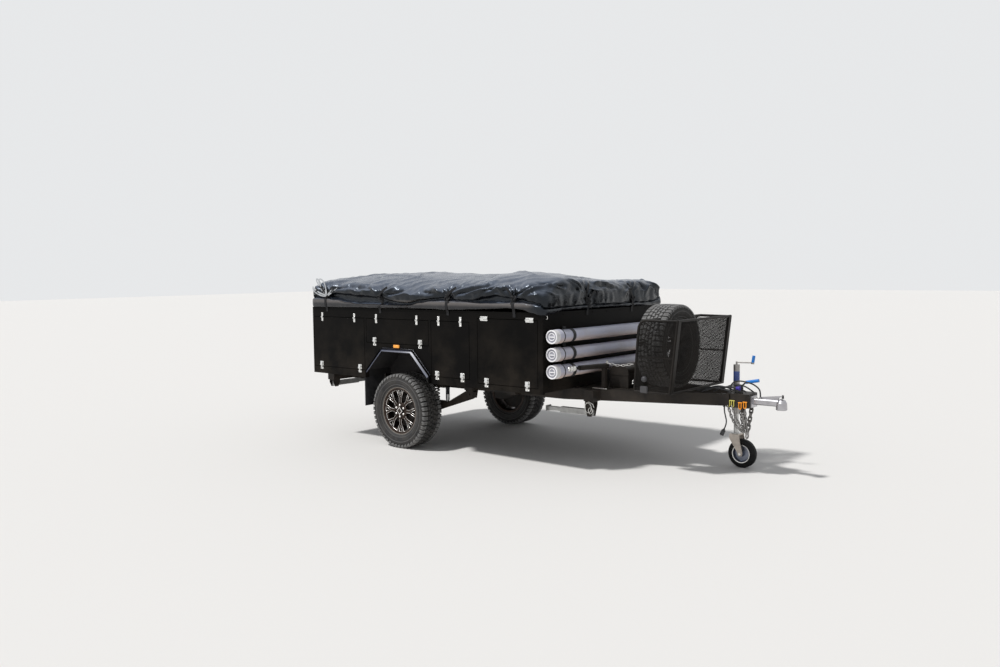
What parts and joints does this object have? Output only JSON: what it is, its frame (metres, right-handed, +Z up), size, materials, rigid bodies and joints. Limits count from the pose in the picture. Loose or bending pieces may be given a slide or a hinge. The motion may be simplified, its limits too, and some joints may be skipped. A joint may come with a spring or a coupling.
{
  "type": "off-road soft-top camper trailer",
  "caption": "Box-bodied camper trailer with a storm cover, side lockers, tailgate, caged spare wheel, pole tubes and a jockey wheel.",
  "frame": {"origin": "on the floor, under the middle of the trailer's length and width", "axes": "+X forward to the coupling, +Y to the trailer's left side, +Z up"},
  "size_m": [4.821, 2.024, 1.742],
  "materials": {
    "black_paint": "satin powder coat",
    "chassis_paint": "semi-gloss enamel",
    "zinc": "zinc plated",
    "cover_vinyl": "coated vinyl, glossy, creased",
    "plywood": "sealed",
    "tyre_rubber": "matte",
    "alloy": "satin bronze grey",
    "pvc_pipe": "smooth",
    "black_plastic": "moulded",
    "black_rubber": "matte",
    "lamp_plastic": "clear moulded",
    "drum_iron": "rough"
  },
  "bodies": {
    "trailer": {"chassis": "chassis_paint", "drawbar": "chassis_paint", "body_floor": "plywood", "deck": "plywood", "front_wall": "black_paint", "rear_frame": "black_paint", "bulkheads": "black_paint", "wheel_tubs": "black_paint", "mud_flaps": "black_rubber", "lamps": "lamp_plastic", "trailing_arms": "chassis_paint", "spring_units": "zinc", "storm_cover": "cover_vinyl", "pole_tubes": "pvc_pipe", "tube_straps": "black_plastic", "mesh_cage": "black_paint", "drawbar_locker": "black_plastic", "gear_stay": "chassis_paint", "coupling": "zinc", "brake_lever": "zinc", "safety_chains": "zinc", "plug_lead": "black_rubber", "brake_cable": "black_rubber", "lead_plug": "black_plastic", "lead_gland": "black_plastic", "leg_brackets": "zinc", "jockey_mount": "zinc", "spare_tyre": "tyre_rubber", "spare_rim": "alloy", "side_wall_left": "black_paint", "side_wall_right": "black_paint"},
    "wheel_left": {"tyre_left": "tyre_rubber", "rim_left": "alloy", "hub_left": "drum_iron"},
    "door_rear_left": {"door_rear_left": "black_paint"},
    "door_arch_left": {"door_arch_left": "black_paint"},
    "door_fore_left": {"door_fore_left": "black_paint"},
    "door_front_left": {"door_front_left": "black_paint"},
    "leg_rear_left": {"leg_rear_left": "zinc"},
    "leg_front_left": {"leg_front_left": "zinc"},
    "wheel_right": {"tyre_right": "tyre_rubber", "rim_right": "alloy", "hub_right": "drum_iron"},
    "door_rear_right": {"door_rear_right": "black_paint"},
    "door_arch_right": {"door_arch_right": "black_paint"},
    "door_fore_right": {"door_fore_right": "black_paint"},
    "door_front_right": {"door_front_right": "black_paint"},
    "leg_rear_right": {"leg_rear_right": "zinc"},
    "leg_front_right": {"leg_front_right": "zinc"},
    "tailgate": {"tailgate": "black_paint"},
    "jockey_leg": {"jockey_leg": "zinc"},
    "jockey_fork": {"jockey_fork": "zinc"},
    "jockey_wheel": {"jockey_tyre": "tyre_rubber", "jockey_rim": "zinc"}
  },
  "joints": [
    {"name": "wheel_left_spin", "type": "hinge", "parent": "trailer", "child": "wheel_left", "pos_m": [-1.1305, 0.845, 0.3685], "axis": [0, 1, 0], "continuous": true},
    {"name": "door_rear_left_hinge", "type": "hinge", "parent": "trailer", "child": "door_rear_left", "pos_m": [-1.9755, 0.9945, 1.2745], "axis": [1, 0, 0], "range_deg": [0, 100]},
    {"name": "door_arch_left_hinge", "type": "hinge", "parent": "trailer", "child": "door_arch_left", "pos_m": [-1.112, 0.9945, 1.2745], "axis": [1, 0, 0], "range_deg": [0, 100]},
    {"name": "door_fore_left_hinge", "type": "hinge", "parent": "trailer", "child": "door_fore_left", "pos_m": [-0.4005, 0.9945, 1.2745], "axis": [1, 0, 0], "range_deg": [0, 100]},
    {"name": "door_front_left_hinge", "type": "hinge", "parent": "trailer", "child": "door_front_left", "pos_m": [0.281, 0.9945, 1.3115], "axis": [1, 0, 0], "range_deg": [0, 100]},
    {"name": "leg_rear_left_hinge", "type": "hinge", "parent": "trailer", "child": "leg_rear_left", "pos_m": [-2.2805, 0.8, 0.548], "axis": [1, 0, 0], "range_deg": [0, 90]},
    {"name": "leg_front_left_hinge", "type": "hinge", "parent": "trailer", "child": "leg_front_left", "pos_m": [0.8695, 0.545, 0.49], "axis": [0, -1, 0], "range_deg": [0, 90]},
    {"name": "wheel_right_spin", "type": "hinge", "parent": "trailer", "child": "wheel_right", "pos_m": [-1.1305, -0.845, 0.3685], "axis": [0, 1, 0], "continuous": true},
    {"name": "door_rear_right_hinge", "type": "hinge", "parent": "trailer", "child": "door_rear_right", "pos_m": [-1.9755, -0.9945, 1.2745], "axis": [-1, 0, 0], "range_deg": [0, 100]},
    {"name": "door_arch_right_hinge", "type": "hinge", "parent": "trailer", "child": "door_arch_right", "pos_m": [-1.112, -0.9945, 1.2745], "axis": [-1, 0, 0], "range_deg": [0, 100]},
    {"name": "door_fore_right_hinge", "type": "hinge", "parent": "trailer", "child": "door_fore_right", "pos_m": [-0.4005, -0.9945, 1.2745], "axis": [-1, 0, 0], "range_deg": [0, 100]},
    {"name": "door_front_right_hinge", "type": "hinge", "parent": "trailer", "child": "door_front_right", "pos_m": [0.281, -0.9945, 1.3115], "axis": [-1, 0, 0], "range_deg": [0, 100]},
    {"name": "leg_rear_right_hinge", "type": "hinge", "parent": "trailer", "child": "leg_rear_right", "pos_m": [-2.2805, -0.8, 0.548], "axis": [-1, 0, 0], "range_deg": [0, 90]},
    {"name": "leg_front_right_hinge", "type": "hinge", "parent": "trailer", "child": "leg_front_right", "pos_m": [0.8695, -0.545, 0.49], "axis": [0, -1, 0], "range_deg": [0, 90]},
    {"name": "tailgate_hinge", "type": "hinge", "parent": "trailer", "child": "tailgate", "pos_m": [-2.396, 0, 0.7675], "axis": [0, -1, 0], "range_deg": [0, 90]},
    {"name": "jockey_lift", "type": "slide", "parent": "trailer", "child": "jockey_leg", "axis": [0, 0, -1], "range_m": [-0.16, 0.16]},
    {"name": "jockey_swivel", "type": "hinge", "parent": "jockey_leg", "child": "jockey_fork", "pos_m": [1.8545, 0.25, 0.29], "axis": [0, 0, 1], "continuous": true},
    {"name": "jockey_wheel_spin", "type": "hinge", "parent": "jockey_fork", "child": "jockey_wheel", "pos_m": [1.9145, 0.25, 0.125], "axis": [0, 1, 0], "continuous": true}
  ]
}
